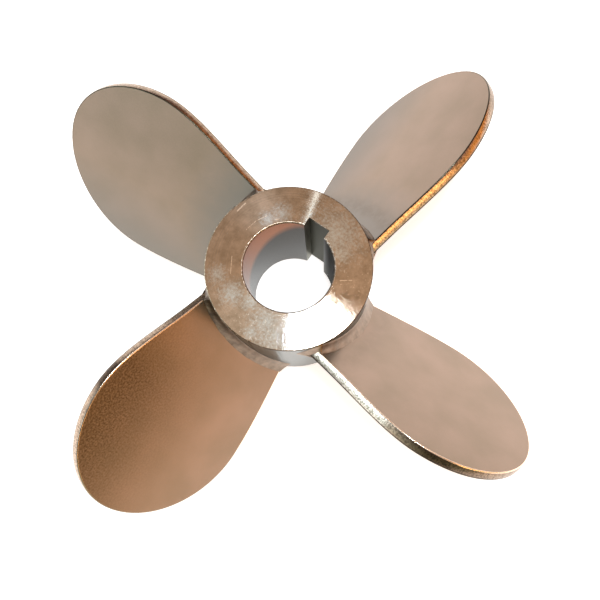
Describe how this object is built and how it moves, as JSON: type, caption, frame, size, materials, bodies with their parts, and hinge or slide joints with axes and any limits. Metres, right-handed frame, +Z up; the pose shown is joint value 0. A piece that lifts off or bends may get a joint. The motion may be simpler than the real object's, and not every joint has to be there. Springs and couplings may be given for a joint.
{
  "type": "mixer impeller",
  "caption": "Welded mixing impeller: a keyed hub carries flat, steeply pitched paddle blades that push liquid along the shaft as it turns.",
  "frame": {"origin": "on the hub's axis, in the hub's lower end face, which is the lowest part", "axes": "+Z up along the hub's axis, towards the end that the blades' raised edges pass; +X through the middle of the keyway; +Y completes the right-handed frame"},
  "size_m": [0.2495, 0.2497, 0.0694],
  "materials": {
    "turned_hub": "turned and bright, fine circular tool marks on the end faces",
    "polished_plate": "polished plate with a faint mottle, cut edges linished",
    "dressed_weld": "fillet weld dressed smooth, slightly rippled"
  },
  "bodies": {
    "root": {"hub": "turned_hub", "blade_1": "polished_plate", "weld_upper_1": "dressed_weld", "weld_lower_1": "dressed_weld", "weld_raised_end_1": "dressed_weld", "weld_lowered_end_1": "dressed_weld", "blade_2": "polished_plate", "weld_upper_2": "dressed_weld", "weld_lower_2": "dressed_weld", "weld_raised_end_2": "dressed_weld", "weld_lowered_end_2": "dressed_weld", "blade_3": "polished_plate", "weld_upper_3": "dressed_weld", "weld_lower_3": "dressed_weld", "weld_raised_end_3": "dressed_weld", "weld_lowered_end_3": "dressed_weld", "blade_4": "polished_plate", "weld_upper_4": "dressed_weld", "weld_lower_4": "dressed_weld", "weld_raised_end_4": "dressed_weld", "weld_lowered_end_4": "dressed_weld"}
  },
  "joints": []
}
